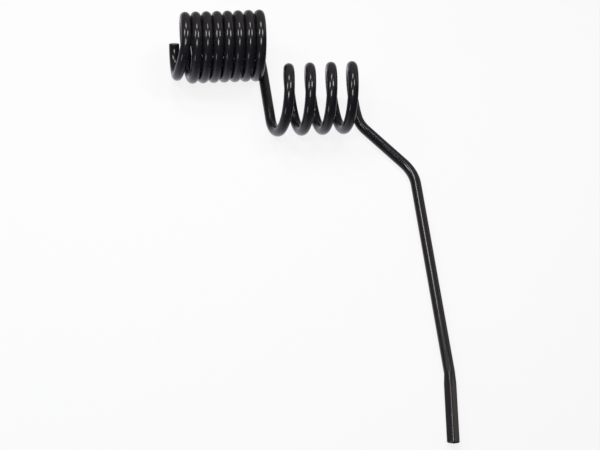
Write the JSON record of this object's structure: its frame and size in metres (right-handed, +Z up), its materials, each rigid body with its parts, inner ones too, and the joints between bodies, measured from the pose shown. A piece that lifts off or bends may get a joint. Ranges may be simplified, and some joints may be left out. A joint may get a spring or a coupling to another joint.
{
  "type": "torsion spring",
  "caption": "Left-hand torsion spring bent from round wire: a close coil, an open coil set off beside it, and a long cranked leg with a square pressed tip.",
  "frame": {"origin": "on the close coil's axis, at the middle of its length", "axes": "+X along both coil axes, from the cut end towards the leg; +Z up, away from the surface the spring lies on; the leg runs out towards -Y"},
  "size_m": [0.1785, 0.3876, 0.0552],
  "materials": {
    "black_paint": "gloss black paint"
  },
  "bodies": {
    "root": {"torsion_spring": "black_paint"}
  },
  "joints": []
}
